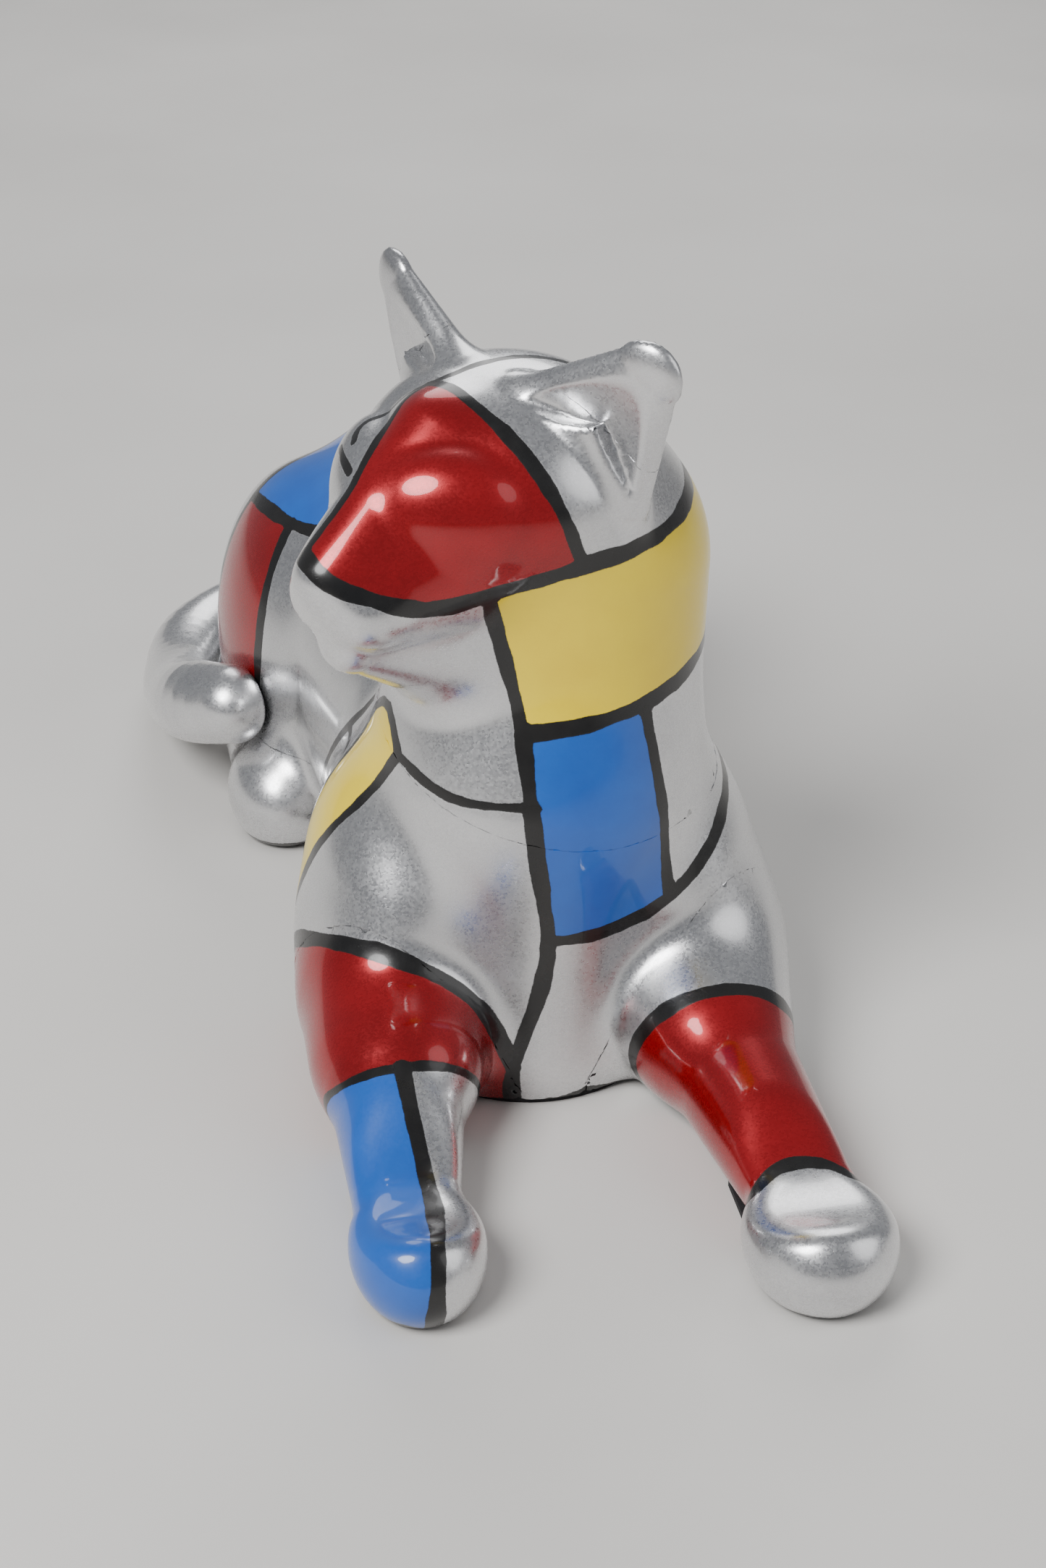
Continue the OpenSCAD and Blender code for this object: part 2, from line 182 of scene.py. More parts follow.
def ear(s):
    body = blade(s, EAR_ROOT, EAR_TIP, 25, 10, 2.6)
    dish = blade(s, EAR_ROOT + EAR_FACE * 11 + (1, 0, 0), EAR_TIP + EAR_FACE * 5, 28, 12, 2.6)
    fold = np.maximum((s - EAR_FOLD) @ (-0.25, 0, 0.97), (s - EAR_FOLD) @ (0.94, 0, 0.34))
    return hollow(body, np.maximum(dish, -fold), 2)


def head(p):
    q = in_head(p)
    s = folded(q)
    f = egg(q, (0, 0, 0), (43, 42, 34))
    f = blend(f, egg(q, (0, 9, -30), (42, 36, 34)), 16)
    f = blend(f, egg(q, (0, -42, -16), (21, 28, 20)), 24)
    f = blend(f, egg(s, (8, -57, -19), (10, 10, 9.5)), 6)
    f = blend(f, bar(q, (0, -56, -31), (2, -16, -38), 9.5, 27), 4)
    f = blend(f, bar(q, (0, -26, 20), (0, -65, -9), 10, 6.5), 10)
    f = blend(f, egg(s, (13, -32, 1.5), (26, 15.5, 20.5), turning("z", 43)), 2)
    return blend(f, ear(s), 7)


def front(p):
    return blend(blend(trunk(p), foreleg(p, "right"), 12), foreleg(p, "left"), 12)


def neck_and_head(p):
    return blend(trunk(p), head(p), 10)


def rear(p):
    return blend(trunk(p), hind_foot(p), 8)


def rear_with_root(p):
    return blend(rear(p), tail(p, 5), 10)


def tail_and_root(p):
    beside = hollow(tail(p), rear(p) - TAIL_GAP, 3)
    past = np.maximum(TAIL_NOTCH_Y - 7 - p[:, 1], p[:, 2] - TAIL_NOTCH_Z - 7)
    return np.minimum(np.maximum(rear_with_root(p), past), beside)


def whole(p):
    f = blend(blend(blend(front(p), head(p), 10), hind_foot(p), 8), tail(p, 5), 10)
    return np.minimum(f, hollow(tail(p), rear(p) - TAIL_GAP, 3))


# ---- Cuts: negative on the side that is kept ----

def beyond(p, at, normal):
    return (np.asarray(at, float) - p) @ normal / np.linalg.norm(normal)


def block(p, low, high):
    low, high = np.asarray(low, float), np.asarray(high, float)
    return (np.abs(p - (low + high) / 2) - (high - low) / 2).max(axis=1)


def mirrored(p, side):
    return p if side == "left" else p * (-1, 1, 1)


def head_side(p):
    return beyond(p, NECK_CUT, NECK_AXIS)


def leg_side(p, side):
    q = mirrored(p, side) * (-1, 1, 1)
    return q @ SHOULDER_AXIS - SHOULDER_OFFSET


def ear_side(p, side):
    return EAR_OFFSET - mirrored(in_head(p), side) @ EAR_AXIS


def foot_side(p, side):
    return block(mirrored(p, side), *HIND_NOTCH)


def tail_side(p):
    return np.maximum(TAIL_NOTCH_Y - p[:, 1], p[:, 2] - TAIL_NOTCH_Z)


def tail_notch(p):
    return np.maximum(tail_side(p), np.abs(p[:, 0] + 7.5) - 67.5)


def rump_side(p):
    return np.maximum(np.abs(p[:, 0] - 5) - 55, -tail_side(p))


def all_of(*fields):
    return np.maximum.reduce(fields)


def above_felt(p):
    return FELT - p[:, 2]


CARVED = {
    "forebody": (front, lambda p: all_of(
        above_felt(p), p[:, 1] - WAIST_Y, -head_side(p), -leg_side(p, "left"), -leg_side(p, "right"))),
    "hindbody": (rear_with_root, lambda p: all_of(
        above_felt(p), WAIST_Y - p[:, 1], -foot_side(p, "left"), -foot_side(p, "right"), -tail_notch(p))),
    "head": (neck_and_head, lambda p: all_of(head_side(p), -ear_side(p, "left"), -ear_side(p, "right"))),
    "left_ear": (neck_and_head, lambda p: ear_side(p, "left")),
    "right_ear": (neck_and_head, lambda p: ear_side(p, "right")),
    "left_foreleg": (front, lambda p: all_of(above_felt(p), leg_side(p, "left"))),
    "right_foreleg": (front, lambda p: all_of(above_felt(p), leg_side(p, "right"))),
    "left_hind_foot": (rear_with_root, lambda p: all_of(above_felt(p), foot_side(p, "left"))),
    "right_hind_foot": (rear_with_root, lambda p: all_of(above_felt(p), foot_side(p, "right"))),
    "tail": (tail_and_root, lambda p: all_of(above_felt(p), -rump_side(p))),
}

DOWELS = {
    "neck_dowel": ("forebody", "head"),
    "left_waist_dowel": ("forebody", "hindbody"),
    "right_waist_dowel": ("forebody", "hindbody"),
    "left_foreleg_dowel": ("forebody", "left_foreleg"),
    "right_foreleg_dowel": ("forebody", "right_foreleg"),
    "left_hind_foot_dowel": ("hindbody", "left_hind_foot"),
    "right_hind_foot_dowel": ("hindbody", "right_hind_foot"),
    "tail_dowel": ("hindbody", "tail"),
    "left_ear_peg": ("head", "left_ear"),
    "right_ear_peg": ("head", "right_ear"),
}


def dowel_bore(node):
    """The hole that a packed dowel fills, found from the dowel's own points."""
    co = np.array([v.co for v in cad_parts[node].data.vertices]) / MM
    middle = (co.min(0) + co.max(0)) / 2
    axis = np.linalg.svd(co - middle, full_matrices=False)[2][0]
    along_axis = (co - middle) @ axis
    radius = np.linalg.norm(co - middle - np.outer(along_axis, axis), axis=1).max()
    length = np.abs(along_axis).max()

    def bore(p):
        t = (p - middle) @ axis
        out = np.linalg.norm(p - middle - np.outer(t, axis), axis=1) - radius - 0.2
        return np.maximum(out, np.abs(t) - length - 1)

    return bore


# ---- Skins: each piece's surface as a fine net of quads ----

def sampled(field, low, count, h):
    """The field at the points of a grid. Far from the surface only every fourth point is worked out."""
    wide = count // COARSE + 2
    axes = [low[a] + h * COARSE * np.arange(wide[a]) for a in range(3)]
    rough = field(np.stack(np.meshgrid(*axes, indexing="ij"), -1).reshape(-1, 3)).reshape(wide)
    least = np.abs(rough)
    for a in range(3):
        ahead = np.roll(least, -1, axis=a)
        least = np.minimum(least, ahead)
    grid, near = rough, least < 0.95 * math.sqrt(3) * COARSE * h
    for a in range(3):
        grid = np.repeat(grid, COARSE, axis=a)
        near = np.repeat(near, COARSE, axis=a)
    crop = tuple(slice(0, n) for n in count)
    grid, near = grid[crop].copy(), near[crop]
    at = np.argwhere(near)
    for part in np.array_split(at, max(1, len(at) // 400000)):
        grid[tuple(part.T)] = field(low + h * part)
    return grid


def slopes(field, p, step):
    g = np.stack([field(p + step * np.eye(3)[a]) - field(p - step * np.eye(3)[a]) for a in range(3)], 1)
    return g / (np.linalg.norm(g, axis=1, keepdims=True) + 1e-12)


def net(field, low, high, h):
    """Dual contouring: one point per crossed cell, set where the planes of its crossings meet."""
    low = np.asarray(low, float)
    count = np.ceil((np.asarray(high, float) - low) / h).astype(int) + 1
    grid = sampled(field, low, count, h)
    inside = grid < 0
    cells_across = count - 1
    points, cells, quads = [], [], []
    for axis in range(3):
        here, ahead = [slice(None)] * 3, [slice(None)] * 3
        here[axis], ahead[axis] = slice(0, -1), slice(1, None)
        at = np.argwhere(inside[tuple(here)] != inside[tuple(ahead)])
        u, w = (axis + 1) % 3, (axis + 2) % 3
        at = at[(at[:, u] > 0) & (at[:, w] > 0) & (at[:, u] < cells_across[u]) & (at[:, w] < cells_across[w])]
        after = at.copy()
        after[:, axis] += 1
        a, b = grid[tuple(at.T)], grid[tuple(after.T)]
        p = low + h * at.astype(float)
        p[:, axis] += h * a / (a - b)
        around = []
        for du, dw in ((0, 0), (-1, 0), (-1, -1), (0, -1)):
            q = at.copy()
            q[:, u] += du
            q[:, w] += dw
            around.append((q[:, 0] * cells_across[1] + q[:, 1]) * cells_across[2] + q[:, 2])
        around = np.stack(around, 1)
        outward = around.copy()
        back = ~inside[tuple(at.T)]
        outward[back] = outward[back][:, ::-1]
        points.append(p)
        cells.append(around)
        quads.append(outward)
    p, cells, quads = (np.concatenate(x) for x in (points, cells, quads))
    normal = slopes(field, p, 0.05 * h)
    used, place = np.unique(cells.ravel(), return_inverse=True)
    place = place.reshape(cells.shape)
    total = len(used)

    def gathered(x):
        return np.bincount(place.ravel(), weights=np.repeat(x, 4), minlength=total)

    share = np.bincount(place.ravel(), minlength=total)
    middle = np.stack([gathered(p[:, i]) for i in range(3)], 1) / share[:, None]
    offset = np.einsum("ij,ij->i", normal, p)
    matrix, target = np.empty((total, 3, 3)), np.empty((total, 3))
    for i in range(3):
        for j in range(3):
            matrix[:, i, j] = gathered(normal[:, i] * normal[:, j])
        target[:, i] = gathered(normal[:, i] * offset)
    target -= np.einsum("mij,mj->mi", matrix, middle)
    size, way = np.linalg.eigh(matrix)
    inverse = np.where(size > 0.08 * size[:, -1:], 1 / np.maximum(size, 1e-9), 0)
    move = np.einsum("mij,mj->mi", way, inverse * np.einsum("mji,mj->mi", way, target))
    length = np.linalg.norm(move, axis=1, keepdims=True)
    move *= np.minimum(1, h / np.maximum(length, 1e-9))
    return middle + move, np.searchsorted(used, quads)


# ---- Brush strokes: runs between landmarks and rings round the body, laid down onto the skin ----

# Strokes that reach the ground end a little below it
UNDER = -4
# Middles of the body's round stretches: (x, y) of upright ones, (x, z) of level ones
NECK_MIDDLE, HEAD_MIDDLE, RUMP_MIDDLE = (8, -34), (0, 4), (0, 130)
RIGHT_LEG, LEFT_LEG, LEFT_WRIST, BARREL = (-48, 18), (48, 18), (54, 12), (0, 50)


def around(middle, radius, first, last, low, high):
    """A stretch round an upright axis, from one bearing to another, rising evenly from low to high."""
    stretch = []
    for t in np.linspace(0, 1, 9):
        angle = math.radians(first + (last - first) * t)
        x, y = middle[0] + radius * math.cos(angle), middle[1] + radius * math.sin(angle)
        stretch.append((x, y, low + (high - low) * t))
    return stretch


def over(middle, radius, y, lean, first, last):
    """A stretch over a level axis along Y, whose top leans forward."""
    stretch = []
    for t in np.linspace(0, 1, 11):
        angle = math.radians(first + (last - first) * t)
        x, z = middle[0] + radius * math.cos(angle), middle[1] + radius * math.sin(angle)
        stretch.append((x, y - lean * max(math.sin(angle), 0), z))
    return stretch


def of_head(points):
    """Points given in the head's own frame."""
    turn = turning("z", HEAD_TURN)
    return [tuple(HEAD_AT + turn @ np.array(point, float)) for point in points]


# Landmarks where strokes begin, meet or end; the first three are in the head's own frame
CROWN, NOSE, CHEEK = (-8, -20, 30), (-4, -68, -4), (42, -10, -10)
EYE_LINE = of_head(around(HEAD_MIDDLE, 48, -17, 108, -10, 0))
BAND = around(NECK_MIDDLE, 46, -110, 75, 121, 139)
WITHERS, SPINE, RUMP, TAIL_TOP = (5, 40, 116), (0, 85, 130), (-4, 150, 127), (0, 200, 68)
THROAT, BREAST, ELBOW = (-40, -55, 106), (-70, -30, 40), (-70, -30, 20)
HIP, LOIN, STIFLE, HOCK = (-60, 145, 100), (-52, 110, 105), (-60, 100, 40), (-75, 145, 35)
FLANK_FORK = (-45, 12, 80)
RIGHT_ELBOW = over(RIGHT_LEG, 21, -98, 13, 235, -55)

STROKES = {
    "eye_bridge": (3.2, of_head([CROWN, (-3, -54, 10), NOSE])),
    "eye_under": (5.0, of_head([NOSE, (10, -66, -10), (26, -42, -18)]) + EYE_LINE),
    "eye_back": (4.0, of_head([CROWN, (16, -20, 28), (36, -17, 12), CHEEK])),
    "crown": (3.0, of_head([CROWN, (3, 12, 33), (16, 34, 20), (20, 46, 0)])),
    "crown_far": (2.4, of_head([CROWN, (-17, -35, 21), (-14, -43, 19)])),
    "temple": (2.6, of_head([(-22, -43, 16), (-8, -50, 14)])),
    "cheek_front": (4.2, around(NECK_MIDDLE, 48, -121, -110, 163, 121)),
    "cheek_below": (4.6, BAND),
    "nape": (3.6, [EYE_LINE[-1], BAND[-1], WITHERS, SPINE, RUMP, TAIL_TOP]),
    "chest_middle": (4.8, [BAND[0], (-5, -85, 85), (-2, -85, 50), (-12, -85, 15), (-12, -85, UNDER)]),
    "chest_left": (4.2, [BAND[2], (35, -78, 65)]),
    "chest_below": (4.4, [
        (-2, -85, 57), (28, -80, 60), (54, -62, 80), (60, -28, 92), (30, 12, 110), (10, 25, 113)]),
    "throat": (3.0, [THROAT, (-28, -74, 101), (-5, -84, 101)]),
    "shoulder_front": (3.6, [THROAT, (-55, -45, 80), BREAST]),
    "shoulder_back": (3.6, [THROAT, (-40, -38, 114), (-55, -15, 85), BREAST]),
    "flank": (3.4, [(-55, 36, 45), FLANK_FORK, (-30, 2, 100)]),
    "flank_branch": (3.0, [FLANK_FORK, (-50, -8, 76)]),
    "right_shoulder": (5.0, [ELBOW, (-70, -44, 40), (-50, -76, 54), (-24, -84, 40), (-12, -85, 15)]),
    "right_shoulder_back": (3.6, [ELBOW, (-60, -20, 5), (-30, -22, UNDER)]),
    "right_elbow": (2.8, RIGHT_ELBOW),
    "right_forearm": (4.6, [
        RIGHT_ELBOW[5], (-46, -148, 22), (-48, -172, 27), (-50, -182, 14), (-51, -172, UNDER)]),
    "left_elbow": (4.6, over(LEFT_LEG, 25, -92, 6, 235, -55)),
    "left_ankle": (4.0, over(LEFT_WRIST, 17, -162, -6, 235, -55)),
    "haunch_side": (4.4, [HIP, (-74, 143, 72), HOCK]),
    "haunch_top": (4.6, [HIP, LOIN, (-35, 90, 110), SPINE]),
    "haunch_low": (4.0, [HOCK, (-74, 124, 37), STIFLE]),
    "haunch_rear": (4.4, [HIP, (-32, 152, 120), RUMP]),
    "haunch_front": (4.4, [LOIN, (-64, 98, 68), STIFLE]),
    "left_flank_front": (4.0, over(BARREL, 70, 60, 0, 88, -65)),
    "left_flank_rear": (4.0, over(BARREL, 80, 142, 0, 92, -20)),
    "left_flank_level": (4.0, [(52, 60, 76), (62, 100, 74), (72, 144, 70)]),
    "left_rear_level": (4.0, around(RUMP_MIDDLE, 78, 12, 90, 58, 68)),
}

FILLS = {
    "red": of_head([(25, -40, 5)]) + [(-60, -80, 35), (50, -130, 32), (-70, 120, 75), (60, 165, 85)],
    "blue": [(10, -84, 105), (-60, -140, 24), (-40, 125, 118), (60, 95, 88)],
    "yellow": [(12, -79, 150), (-48, -42, 98)],
}
ZONES = ["silver", "red", "blue", "yellow"]


def laid(points):
    """Points moved onto the skin along the steepest way."""
    p = np.array(points, float)
    for _ in range(4):
        p -= whole(p)[:, None] * slopes(whole, p, 0.2)
    return p


FAR_FROM_STROKES = 60.0
STROKE_REACH = 15


def stroke_edge(p):
    """How far points are outside the nearest stroke's edge; a stroke is only sought within its reach."""
    best = np.full(len(p), FAR_FROM_STROKES)
    for n, (width, points) in enumerate(STROKES.values()):
        line = laid(smooth(points, 4))
        travel = np.concatenate([[0], np.cumsum(np.linalg.norm(np.diff(line, axis=0), axis=1))])
        halves = width / 2 * (1 + 0.13 * np.sin(travel / 7 + n) + 0.07 * np.sin(travel / 2.9 + 2 * n))
        middle, half_size = (line.min(0) + line.max(0)) / 2, (line.max(0) - line.min(0)) / 2
        near = np.flatnonzero((np.abs(p - middle) < half_size + STROKE_REACH).all(1))
        for a, b, ra, rb in zip(line[:-1], line[1:], halves[:-1], halves[1:]):
            best[near] = np.minimum(best[near], bar(p[near], a, b, ra, rb))
    return best


def carve(name, low, high):
    """A carved piece: its points, quads, corner normals and which quads are skin."""
    form, cut = CARVED[name]
    bores = [dowel_bore(d) for d, users in DOWELS.items() if name in users]

    def field(p):
        return all_of(form(p), cut(p), *[-b(p) for b in bores])

    points, quads = net(field, low - 2.5 * CELL, high + 2.5 * CELL, CELL)
    middle = points[quads].mean(1)
    skin = np.abs(form(middle)) < 0.3 * CELL
    skin &= cut(middle) < -0.02
    flat = np.cross(points[quads[:, 2]] - points[quads[:, 0]], points[quads[:, 3]] - points[quads[:, 1]])
    flat /= np.linalg.norm(flat, axis=1, keepdims=True) + 1e-12
    round_ = slopes(whole, points, 0.4)[quads]
    even = (flat[:, None, :] * round_).sum(2) > 0.8
    normals = np.where((skin[:, None] | even)[:, :, None], round_, flat[:, None, :])
    return np.clip(points, *CAD_MM), quads, normals, skin


def spread(labels, a, b):
    """Labels passed on along the links from a to b and back, until nothing changes."""
    while True:
        before = labels.copy()
        for s, t in ((a, b), (b, a)):
            go = (labels[s] > 0) & (labels[t] == 0)
            labels[t[go]] = labels[s[go]]
        if (labels == before).all():
            return labels


def filled(points, edge, links, owner, rim):
    """Each point's colour zone: its number in ZONES."""
    tree = kdtree.KDTree(len(points))
    for i, p in enumerate(points):
        tree.insert(p, i)
    tree.balance()
    across = []
    for i in rim:
        across += [(i, j) for _, j, _ in tree.find_range(points[i], 1.5 * CELL) if owner[j] != owner[i]]
    links = np.concatenate([links, np.array(across, int).reshape(-1, 2)])
    labels = np.zeros(len(points), int)
    for n, zone in enumerate(ZONES):
        for seed in FILLS.get(zone, []):
            labels[tree.find(laid([seed])[0])[1]] = n + 1
    clear = edge > 0.35 * CELL
    inside = clear[links].all(1)
    spread(labels, links[inside, 0], links[inside, 1])
    labels[clear & (labels == 0)] = 1
    spread(labels, links[:, 0], links[:, 1])
    return np.maximum(labels, 1) - 1


# ---- Materials ----

def material(name):
    m = bpy.data.materials.new(name)
    m.use_nodes = True
    tree = m.node_tree
    return m, tree, tree.nodes["Principled BSDF"]


def node(tree, kind, inputs=None, **settings):
    n = tree.nodes.new(kind)
    for key, value in settings.items():
        setattr(n, key, value)
    for key, value in (inputs or {}).items():
        if isinstance(value, bpy.types.NodeSocket):
            tree.links.new(value, n.inputs[key])
        else:
            n.inputs[key].default_value = value
    return n


def ramp(tree, factor, *stops):
    r = node(tree, "ShaderNodeValToRGB", {"Fac": factor})
    while len(r.color_ramp.elements) < len(stops):
        r.color_ramp.elements.new(0.5)
    for element, (place, colour) in zip(r.color_ramp.elements, stops):
        element.position = place
        element.color = (*colour, 1)
    return r.outputs["Color"]


def noise(tree, where, scale, detail=3.0, roughness=0.5):
    inputs = {"Vector": where, "Scale": scale, "Detail": detail, "Roughness": roughness}
    return node(tree, "ShaderNodeTexNoise", inputs)


def between(tree, value, a, b, low, high):
    """The value carried from the range a to b into the range low to high."""
    inputs = {"Value": value, "From Min": a, "From Max": b, "To Min": low, "To Max": high}
    return node(tree, "ShaderNodeMapRange", inputs).outputs["Result"]


def maths(tree, operation, a, b):
    return node(tree, "ShaderNodeMath", {0: a, 1: b}, operation=operation).outputs[0]


def mixed(tree, factor, a, b, kind="RGBA"):
    n = node(tree, "ShaderNodeMix", {"Factor": factor}, data_type=kind)
    a_in, b_in = [s for s in n.inputs if s.enabled and s.name in "AB"]
    tree.links.new(a, a_in)
    tree.links.new(b, b_in)
    return [s for s in n.outputs if s.enabled][0]


def paint(name, dark, light, metallic, rough, flake):
    """Glossy lacquered paint with black brush strokes where the stroke attribute is below zero."""
    m, tree, shader = material(name)
    where = node(tree, "ShaderNodeTexCoord").outputs["Object"]
    wobble = noise(tree, where, 170, 3).outputs["Fac"]
    fine = noise(tree, where, 2600, 2).outputs["Fac"]
    flakes = node(tree, "ShaderNodeTexVoronoi", {"Vector": where, "Scale": 1700}).outputs["Color"]
    cloudy = noise(tree, where, 38, 5, 0.6).outputs["Fac"]

    stroke = node(tree, "ShaderNodeAttribute", attribute_name="stroke").outputs["Fac"]
    ragged = maths(tree, "ADD", stroke, between(tree, wobble, 0.3, 0.7, -0.22, 0.22))
    hairs = maths(tree, "ADD", ragged, between(tree, fine, 0.3, 0.7, -0.06, 0.06))
    line = between(tree, hairs, 0.12, -0.12, 0, 1)
    # Black band along the bottom edge of each piece, below a wavy line about 2 to 4.5 mm above the ground
    height = node(tree, "ShaderNodeSeparateXYZ", {"Vector": where}).outputs["Z"]
    rim_wobble = between(tree, noise(tree, where, 90, 4).outputs["Fac"], 0.35, 0.75, -0.0006, 0.0022)
    rim = between(tree, maths(tree, "SUBTRACT", height, rim_wobble), 0.0026, 0.0023, 0, 1)
    black = maths(tree, "MAXIMUM", line, rim)

    speck = node(tree, "ShaderNodeSeparateColor", {"Color": flakes}).outputs[0]
    sparkle = maths(tree, "MULTIPLY", speck, flake)
    tone = maths(tree, "ADD", sparkle, between(tree, cloudy, 0.3, 0.7, 0, 1 - flake))
    colour = ramp(tree, tone, (0.0, dark), (1.0, light))
    ink = ramp(tree, cloudy, (0.3, (0.004, 0.004, 0.0045)), (0.75, (0.014, 0.013, 0.012)))
    tree.links.new(mixed(tree, black, colour, ink), shader.inputs["Base Color"])
    if metallic:
        tree.links.new(between(tree, black, 0, 1, metallic, 0), shader.inputs["Metallic"])
    base_rough = maths(tree, "ADD", between(tree, speck, 0, 1, rough - 0.05 - 0.10 * flake, rough + 0.02),
                       between(tree, cloudy, 0.3, 0.7, 0, 0.06))
    ink_rough = between(tree, wobble, 0.3, 0.7, 0.2, 0.34)
    tree.links.new(mixed(tree, black, base_rough, ink_rough, "FLOAT"), shader.inputs["Roughness"])
    flake_height = maths(tree, "MULTIPLY", speck, 0.5 * flake)
    grain = maths(tree, "ADD", flake_height, maths(tree, "MULTIPLY", cloudy, 2.5))
    raised = maths(tree, "ADD", grain, between(tree, hairs, 0.35, -0.5, 0, 1.2))
    bump = node(tree, "ShaderNodeBump", {"Height": raised, "Strength": 0.4, "Distance": 0.00006})
    tree.links.new(bump.outputs["Normal"], shader.inputs["Normal"])
    tree.links.new(between(tree, black, 0, 1, 0.7, 0.25), shader.inputs["Coat Weight"])
    shader.inputs["Coat Roughness"].default_value = 0.04
    return m


def dowel_wood():
    m, tree, shader = material("dowel_wood")
    where = node(tree, "ShaderNodeTexCoord").outputs["Object"]
    rings = {"Vector": where, "Scale": 160, "Distortion": 7, "Detail": 3}
    grain = node(tree, "ShaderNodeTexWave", rings).outputs["Fac"]
    pores = noise(tree, where, 900, 4).outputs["Fac"]
    tone = maths(tree, "ADD", maths(tree, "MULTIPLY", grain, 0.6), maths(tree, "MULTIPLY", pores, 0.4))
    colour = ramp(tree, tone, (0.1, (0.42, 0.27, 0.13)), (0.9, (0.66, 0.49, 0.29)))
    tree.links.new(colour, shader.inputs["Base Color"])
    tree.links.new(between(tree, pores, 0.3, 0.7, 0.5, 0.75), shader.inputs["Roughness"])
    bump = node(tree, "ShaderNodeBump", {"Height": tone, "Strength": 0.4, "Distance": 0.0002})
    tree.links.new(bump.outputs["Normal"], shader.inputs["Normal"])
    return m


def black_felt():
    m, tree, shader = material("black_felt")
    where = node(tree, "ShaderNodeTexCoord").outputs["Object"]
    fibres = noise(tree, where, 2400, 6, 0.7).outputs["Fac"]
    tufts = noise(tree, where, 320, 4).outputs["Fac"]
    colour = ramp(tree, fibres, (0.3, (0.004, 0.004, 0.005)), (0.7, (0.03, 0.03, 0.032)))
    tree.links.new(colour, shader.inputs["Base Color"])
    tree.links.new(between(tree, tufts, 0.3, 0.7, 0.85, 1.0), shader.inputs["Roughness"])
    bump = node(tree, "ShaderNodeBump", {"Height": fibres, "Strength": 0.8, "Distance": 0.0004})
    tree.links.new(bump.outputs["Normal"], shader.inputs["Normal"])
    return m


def pale_floor():
    m, tree, shader = material("pale_floor")
    where = node(tree, "ShaderNodeTexCoord").outputs["Object"]
    cloud = noise(tree, where, 3.5, 5).outputs["Fac"]
    colour = ramp(tree, cloud, (0.3, (0.66, 0.64, 0.61)), (0.7, (0.74, 0.72, 0.69)))
    tree.links.new(colour, shader.inputs["Base Color"])
    tree.links.new(between(tree, cloud, 0.3, 0.7, 0.6, 0.75), shader.inputs["Roughness"])
    return m


# ---- The object ----

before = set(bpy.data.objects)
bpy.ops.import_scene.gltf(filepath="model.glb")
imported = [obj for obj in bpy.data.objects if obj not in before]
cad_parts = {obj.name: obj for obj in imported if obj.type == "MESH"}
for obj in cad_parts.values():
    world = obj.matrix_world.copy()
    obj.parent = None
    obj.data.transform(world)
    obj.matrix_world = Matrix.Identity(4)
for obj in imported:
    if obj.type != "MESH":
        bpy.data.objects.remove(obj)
CAD_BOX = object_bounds()
CAD_MM = np.array([list(corner) for corner in CAD_BOX]) / MM

PAINTS = [
    paint("silver_flake", (0.56, 0.56, 0.575), (0.74, 0.74, 0.745), 0.95, 0.31, 0.45),
    paint("candy_red", (0.25, 0.0006, 0.003), (0.38, 0.0015, 0.006), 0.5, 0.28, 0.2),
    paint("gloss_blue", (0.003, 0.085, 0.42), (0.006, 0.115, 0.52), 0.0, 0.34, 0.10),
    paint("gloss_yellow", (0.84, 0.60, 0.004), (0.92, 0.69, 0.010), 0.0, 0.36, 0.10),
]
SLOT_OF = {"right_foreleg": "blue_paint", "left_foreleg": "red_paint"}


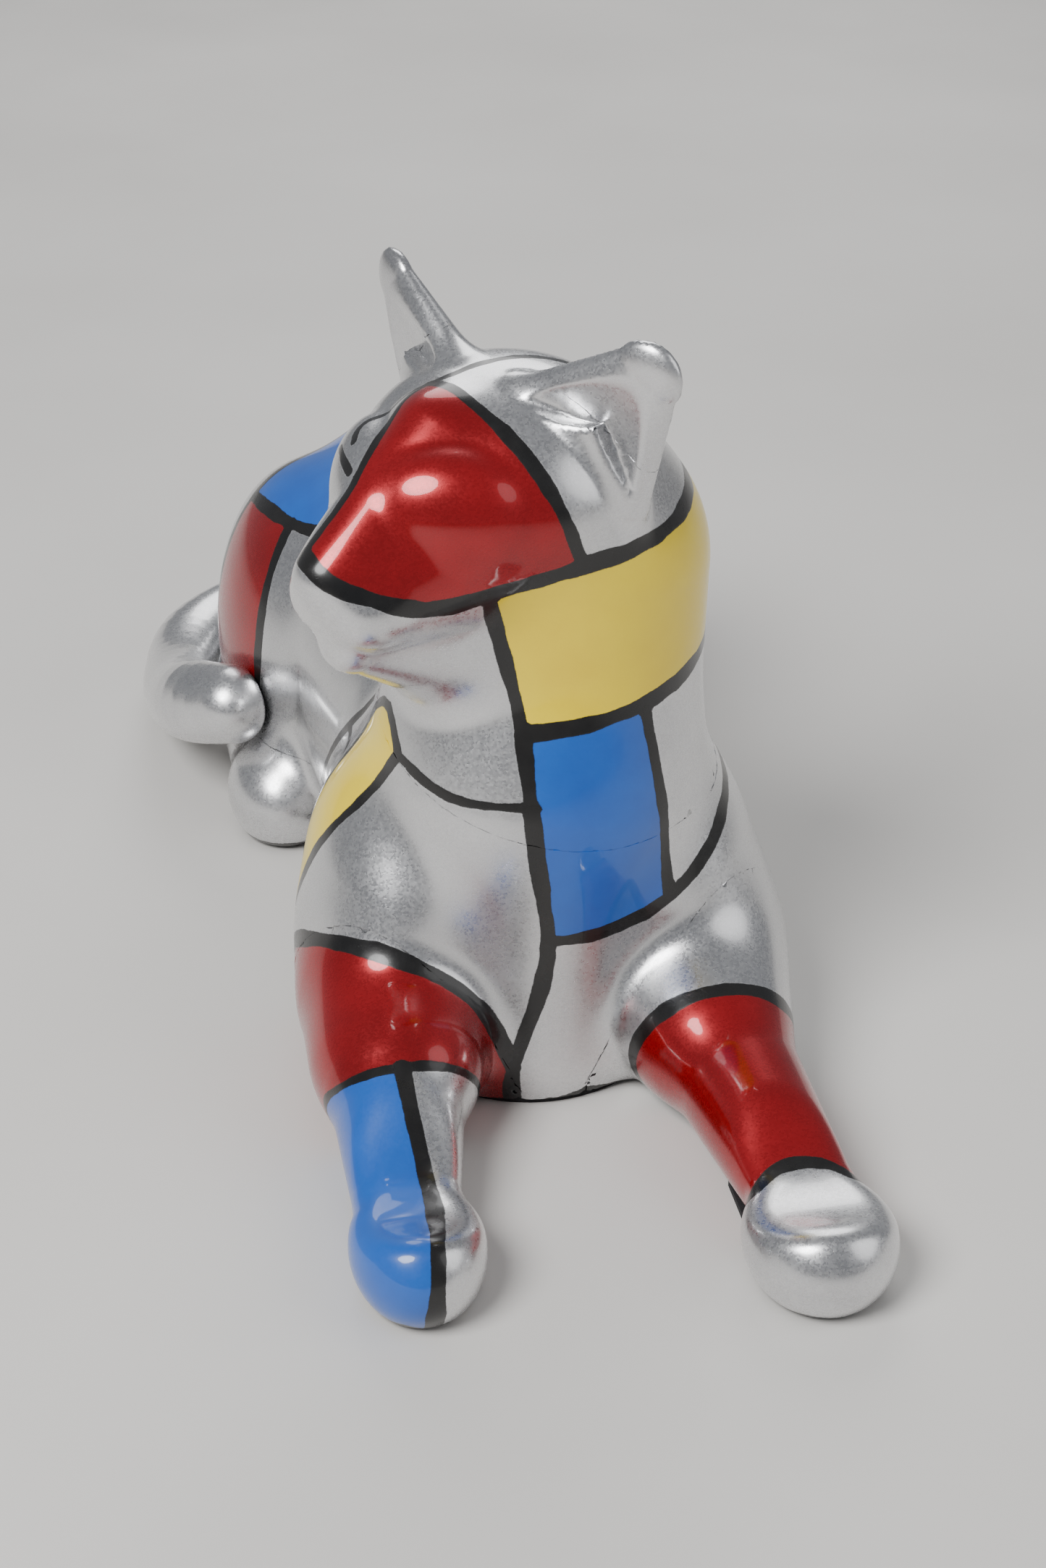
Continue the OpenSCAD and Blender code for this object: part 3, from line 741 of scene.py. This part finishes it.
def build_skin():
    """Every carved piece as its own mesh, painted across the seams as one skin."""
    made, points, links, owner, rim = [], [], [], [], []
    start = 0
    for name in CARVED:
        low, high = (np.array(corner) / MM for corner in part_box(name))
        p, quads, normals, skin = carve(name, low, high)
        made.append((name, p, quads, normals, skin, start))
        painted = quads[skin] + start
        points.append(p)
        links += [painted[:, [i, (i + 1) % 4]] for i in range(4)]
        owner.append(np.full(len(p), len(made)))
        rim.append(np.intersect1d(painted.ravel(), quads[~skin].ravel() + start))
        start += len(p)
    points, owner = np.concatenate(points), np.concatenate(owner)
    edge = stroke_edge(points)
    zones = filled(points, edge, np.concatenate(links), owner, np.concatenate(rim))
    for name, p, quads, normals, skin, first in made:
        mesh = bpy.data.meshes.new("painted_" + name)
        mesh.from_pydata((p * MM).tolist(), [], quads.tolist())
        own_edge, own_zone = edge[first:first + len(p)], zones[first:first + len(p)]
        mesh.attributes.new("stroke", "FLOAT", "POINT").data.foreach_set("value", own_edge.astype(np.float32))
        clearest = quads[np.arange(len(quads)), own_edge[quads].argmax(1)]
        for m in PAINTS:
            mesh.materials.append(m)
        mesh.polygons.foreach_set("material_index", own_zone[clearest].astype(np.int32))
        mesh.polygons.foreach_set("use_smooth", np.ones(len(quads), bool))
        mesh.update()
        mesh.normals_split_custom_set(normals.reshape(-1, 3).tolist())
        piece = bpy.data.objects.new("painted_" + name, mesh)
        bpy.context.scene.collection.objects.link(piece)
        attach(piece, "root")
        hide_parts(name)
        SLOT_OF.get(name, "silver_paint")


def dress_hidden_parts():
    wood, felt = dowel_wood(), black_felt()
    for name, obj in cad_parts.items():
        if name in CARVED:
            continue
        is_felt = name.endswith("felt")
        for place in obj.material_slots:
            place.link = "OBJECT"
            place.material = felt if is_felt else wood


def build_stage():
    bpy.ops.mesh.primitive_plane_add(size=14, location=(0, 0, 0))
    floor = bpy.context.object
    floor.name = "floor"
    floor.data.materials.append(pale_floor())
    aim = Vector((0, 0, 0.1))
    lights = (
        ("key_light", (-0.95, -0.75, 1.35), 0.9, 34),
        ("fill_light", (1.3, -0.7, 0.9), 1.4, 7),
        ("back_light", (0.3, 1.4, 1.2), 1.2, 12),
    )
    for name, place, size, power in lights:
        data = bpy.data.lights.new(name, "AREA")
        data.shape, data.size, data.energy = "DISK", size, power
        lamp = bpy.data.objects.new(name, data)
        lamp.location = place
        lamp.rotation_euler = (aim - Vector(place)).to_track_quat("-Z", "Y").to_euler()
        bpy.context.scene.collection.objects.link(lamp)
    world = bpy.data.worlds.new("studio")
    world.use_nodes = True
    world.node_tree.nodes["Background"].inputs["Color"].default_value = (0.62, 0.64, 0.68, 1)
    world.node_tree.nodes["Background"].inputs["Strength"].default_value = 0.38
    bpy.context.scene.world = world


def set_camera():
    data = bpy.data.cameras.new("photo_view")
    data.sensor_width, data.lens = 36, 61.47
    data.clip_start, data.clip_end = 0.01, 50
    camera = bpy.data.objects.new("photo_view", data)
    camera.location = (-0.1272, -0.7099, 0.477)
    camera.rotation_euler = (math.radians(60), 0, math.radians(-10.7))
    bpy.context.scene.collection.objects.link(camera)
    bpy.context.scene.camera = camera


build_skin()
dress_hidden_parts()
build_stage()
set_camera()
